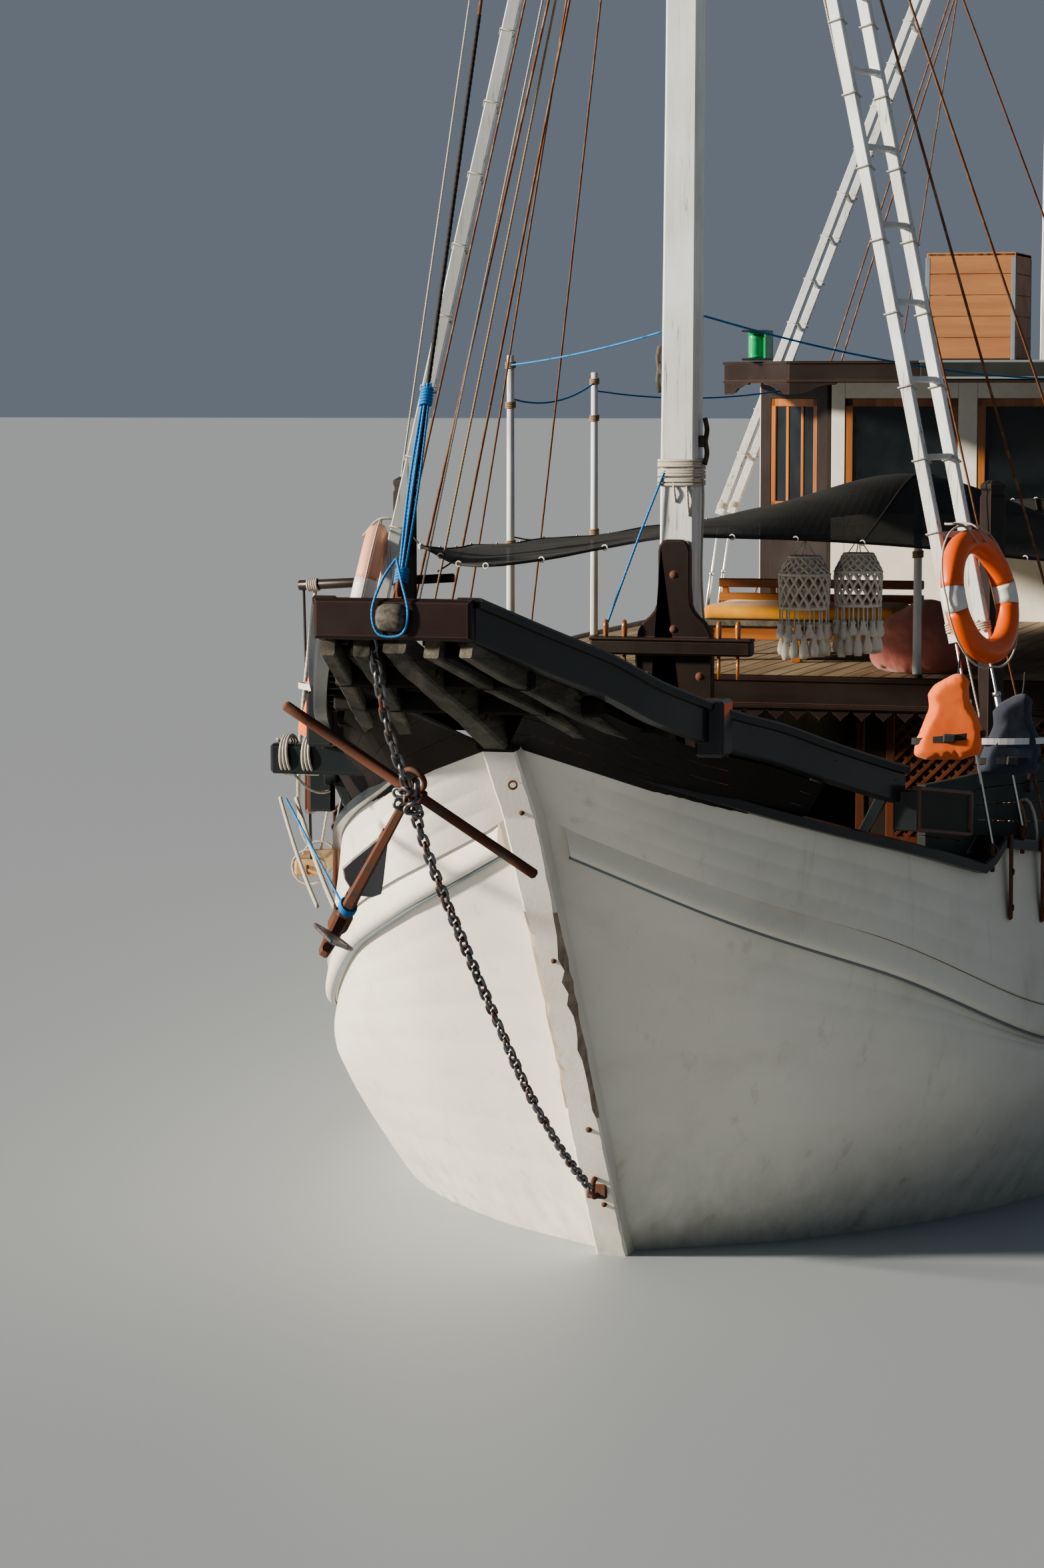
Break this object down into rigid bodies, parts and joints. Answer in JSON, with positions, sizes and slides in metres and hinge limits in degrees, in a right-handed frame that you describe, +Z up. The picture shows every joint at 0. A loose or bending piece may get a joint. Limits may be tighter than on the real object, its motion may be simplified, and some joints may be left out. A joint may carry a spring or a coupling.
{
  "type": "two-masted wooden sailing and motor boat",
  "caption": "Wooden passenger boat with a raked bow, bow platform, square masts with ladder shrouds, wheelhouse, low saloon, net awning, anchor, rudder and propeller.",
  "frame": {"origin": "amidships on the centreline at the height of the still waterline", "axes": "+X towards the bow, +Y to port, +Z up"},
  "size_m": [20.2533, 5.1198, 15.62],
  "materials": {
    "beanbag": "woven",
    "bottom_paint": "matt",
    "bronze": "satin",
    "cushion": "woven",
    "dark_wood": "satin varnish",
    "deck_wood": "weathered",
    "glass": "clear",
    "grey_wood": "weathered",
    "jacket": "woven",
    "light_green": "gloss",
    "light_red": "gloss",
    "macrame": "knotted cord",
    "mast_paint": "worn paint",
    "net": "matt mesh",
    "ring_orange": "gloss",
    "ring_peach": "faded",
    "rust": "rusty",
    "varnish": "gloss varnish",
    "white_wood": "gloss paint",
    "wire": "rusty"
  },
  "bodies": {
    "boat": {"hull": "white_wood", "hull_fore": "white_wood", "hull_aft": "white_wood", "topside_port": "white_wood", "topside_starboard": "white_wood", "topside_bow": "white_wood", "stem": "white_wood", "keel": "bottom_paint", "wale_port": "white_wood", "wale_starboard": "white_wood", "cap_rail": "dark_wood", "bow_platform": "dark_wood", "bow_timbers": "grey_wood", "bow_rail_port": "dark_wood", "bow_rail_starboard": "dark_wood", "bulwark_port": "dark_wood", "bulwark_starboard": "dark_wood", "foremast": "mast_paint", "tabernacle": "dark_wood", "fore_ladder_port": "mast_paint", "fore_ladder_starboard": "mast_paint", "aft_mast": "mast_paint", "aft_ladder_port": "mast_paint", "aft_ladder_starboard": "mast_paint", "forestay": "wire", "fore_shroud_port": "wire", "fore_shroud_starboard": "wire", "saloon": "white_wood", "upper_deck": "deck_wood", "wheelhouse": "white_wood", "wheelhouse_glass": "glass", "wheelhouse_roof": "dark_wood", "roof_box": "varnish", "nav_light_port": "light_red", "nav_light_starboard": "light_green", "helm_console": "varnish", "awning": "net", "awning_pole_fore": "mast_paint", "awning_pole_aft": "mast_paint", "awning_pole_centre": "mast_paint", "lamp_shade_starboard": "macrame", "lamp_shade_port": "macrame", "deck_rail": "varnish", "life_ring_port": "ring_orange", "life_ring_starboard": "ring_peach", "anchor": "rust", "anchor_chain": "rust", "bench": "varnish", "bench_cushion": "cushion", "beanbag": "beanbag", "life_jacket_port": "jacket", "life_jacket_starboard": "jacket", "life_jacket_aft": "jacket", "boarding_step": "grey_wood"},
    "rudder": {"rudder": "bottom_paint"},
    "propeller": {"propeller": "bronze"},
    "wheel": {"ship_wheel": "varnish"},
    "door_port": {"wheelhouse_door_port": "varnish"},
    "door_starboard": {"wheelhouse_door_starboard": "varnish"},
    "hatch_lid": {"hatch_lid": "deck_wood"}
  },
  "joints": [
    {"name": "rudder_turn", "type": "hinge", "parent": "boat", "child": "rudder", "pos_m": [-7.965, 0, -1.05], "axis": [0, 0, 1], "range_deg": [-35, 35]},
    {"name": "propeller_turn", "type": "hinge", "parent": "boat", "child": "propeller", "pos_m": [-7.33, 0, -1.05], "axis": [1, 0, 0], "continuous": true},
    {"name": "wheel_turn", "type": "hinge", "parent": "boat", "child": "wheel", "pos_m": [-2.9, 0, 3.18], "axis": [1, 0, 0], "range_deg": [-360, 360]},
    {"name": "door_port_swing", "type": "hinge", "parent": "boat", "child": "door_port", "pos_m": [-4.441, 1.6623, 3.4], "axis": [0, 0, 1], "range_deg": [-100, 0]},
    {"name": "door_starboard_swing", "type": "hinge", "parent": "boat", "child": "door_starboard", "pos_m": [-4.441, -1.6623, 3.4], "axis": [0, 0, 1], "range_deg": [0, 100]},
    {"name": "hatch_lid_swing", "type": "hinge", "parent": "boat", "child": "hatch_lid", "pos_m": [5.1623, 0, 1.462], "axis": [0, 1, 0], "range_deg": [0, 95]}
  ],
  "couplings": [
    {"joint": "wheel_turn", "follows": "rudder_turn", "ratio": 10.28}
  ]
}
